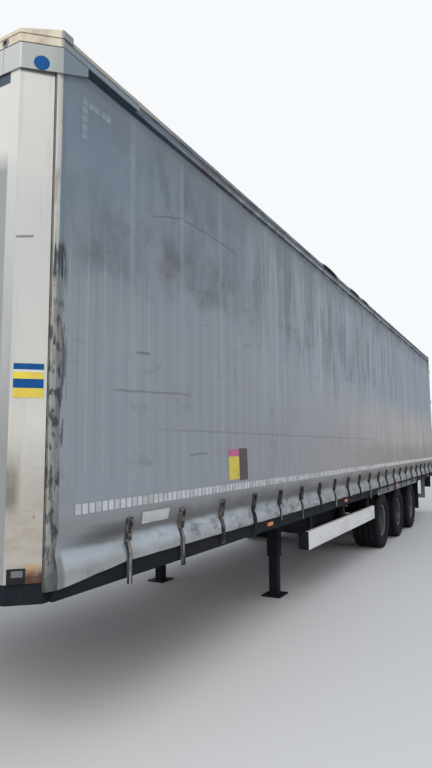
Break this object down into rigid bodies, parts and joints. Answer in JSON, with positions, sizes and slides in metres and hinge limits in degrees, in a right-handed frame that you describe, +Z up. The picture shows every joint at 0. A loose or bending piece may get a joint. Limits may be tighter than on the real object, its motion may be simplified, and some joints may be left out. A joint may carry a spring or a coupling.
{
  "type": "curtain-sided semi trailer",
  "caption": "Low-deck curtain-sided semi trailer with a sliding fabric roof, rear doors, landing legs and an air-sprung axle set.",
  "frame": {"origin": "on the ground under the middle of the trailer's box", "axes": "+X towards the rear doors, +Y to the trailer's right-hand side, +Z up"},
  "size_m": [13.71, 2.55, 4],
  "materials": {
    "frame_paint": "satin, worn",
    "body_paint": "satin, dusty",
    "band_paint": "satin",
    "galvanised": "dull",
    "bare_steel": "worn",
    "aluminium": "dull",
    "timber": "worn",
    "curtain_cloth": "matt, dusty",
    "roof_cloth": "matt, dusty",
    "webbing": "matt, dirty",
    "rubber": "matt",
    "tyre_rubber": "matt, dusty",
    "rim_paint": "dull silver",
    "plastic": "matt",
    "pale_plastic": "matt, dusty",
    "lamp_amber": "clear lens",
    "plate_white": "blank"
  },
  "bodies": {
    "trailer": {"main_beams": "frame_paint", "cross_members": "frame_paint", "side_raves": "frame_paint", "front_bolster": "frame_paint", "coupler_plate": "frame_paint", "kingpin": "bare_steel", "load_floor": "timber", "front_wall": "body_paint", "front_pillars": "body_paint", "front_band": "band_paint", "roof_front_cap": "body_paint", "rear_frame": "body_paint", "roof_rails": "aluminium", "roof_bows": "galvanised", "roof_tarp": "roof_cloth", "curtain_left": "curtain_cloth", "curtain_right": "curtain_cloth", "curtain_straps": "webbing", "curtain_poles": "aluminium", "sliding_posts": "galvanised", "side_laths": "aluminium", "landing_legs": "frame_paint", "landing_gear_drive": "bare_steel", "side_guards": "body_paint", "guard_hangers": "frame_paint", "dampers": "frame_paint", "corner_lamps": "plastic", "axles": "frame_paint", "suspension_arms": "frame_paint", "suspension_hangers": "frame_paint", "air_springs": "rubber", "mudguards": "plastic", "wheel_valances": "pale_plastic", "mud_flaps": "rubber", "air_tanks": "frame_paint", "underrun_bar": "galvanised", "rear_lamps": "plastic", "number_plate": "plate_white", "marker_lamps": "lamp_amber", "buffers": "rubber", "service_panel": "bare_steel"},
    "wheel_1_left": {"tyre_1_left": "tyre_rubber", "rim_1_left": "rim_paint"},
    "wheel_1_right": {"tyre_1_right": "tyre_rubber", "rim_1_right": "rim_paint"},
    "wheel_2_left": {"tyre_2_left": "tyre_rubber", "rim_2_left": "rim_paint"},
    "wheel_2_right": {"tyre_2_right": "tyre_rubber", "rim_2_right": "rim_paint"},
    "wheel_3_left": {"tyre_3_left": "tyre_rubber", "rim_3_left": "rim_paint"},
    "wheel_3_right": {"tyre_3_right": "tyre_rubber", "rim_3_right": "rim_paint"},
    "rear_door_left": {"door_left": "body_paint", "lock_rods_left": "galvanised"},
    "rear_door_right": {"door_right": "body_paint", "lock_rods_right": "galvanised"}
  },
  "joints": [
    {"name": "wheel_1_left_spin", "type": "hinge", "parent": "trailer", "child": "wheel_1_left", "pos_m": [0.895, -1.0195, 0.4475], "axis": [0, 1, 0], "continuous": true},
    {"name": "wheel_1_right_spin", "type": "hinge", "parent": "trailer", "child": "wheel_1_right", "pos_m": [0.895, 1.0195, 0.4475], "axis": [0, 1, 0], "continuous": true},
    {"name": "wheel_2_left_spin", "type": "hinge", "parent": "trailer", "child": "wheel_2_left", "pos_m": [2.205, -1.0195, 0.4475], "axis": [0, 1, 0], "continuous": true},
    {"name": "wheel_2_right_spin", "type": "hinge", "parent": "trailer", "child": "wheel_2_right", "pos_m": [2.205, 1.0195, 0.4475], "axis": [0, 1, 0], "continuous": true},
    {"name": "wheel_3_left_spin", "type": "hinge", "parent": "trailer", "child": "wheel_3_left", "pos_m": [3.515, -1.0195, 0.4475], "axis": [0, 1, 0], "continuous": true},
    {"name": "wheel_3_right_spin", "type": "hinge", "parent": "trailer", "child": "wheel_3_right", "pos_m": [3.515, 1.0195, 0.4475], "axis": [0, 1, 0], "continuous": true},
    {"name": "rear_door_left_hinge", "type": "hinge", "parent": "trailer", "child": "rear_door_left", "pos_m": [6.815, -1.258, 2.4], "axis": [0, 0, 1], "range_deg": [-265, 0]},
    {"name": "rear_door_right_hinge", "type": "hinge", "parent": "trailer", "child": "rear_door_right", "pos_m": [6.815, 1.258, 2.4], "axis": [0, 0, 1], "range_deg": [0, 265]}
  ]
}
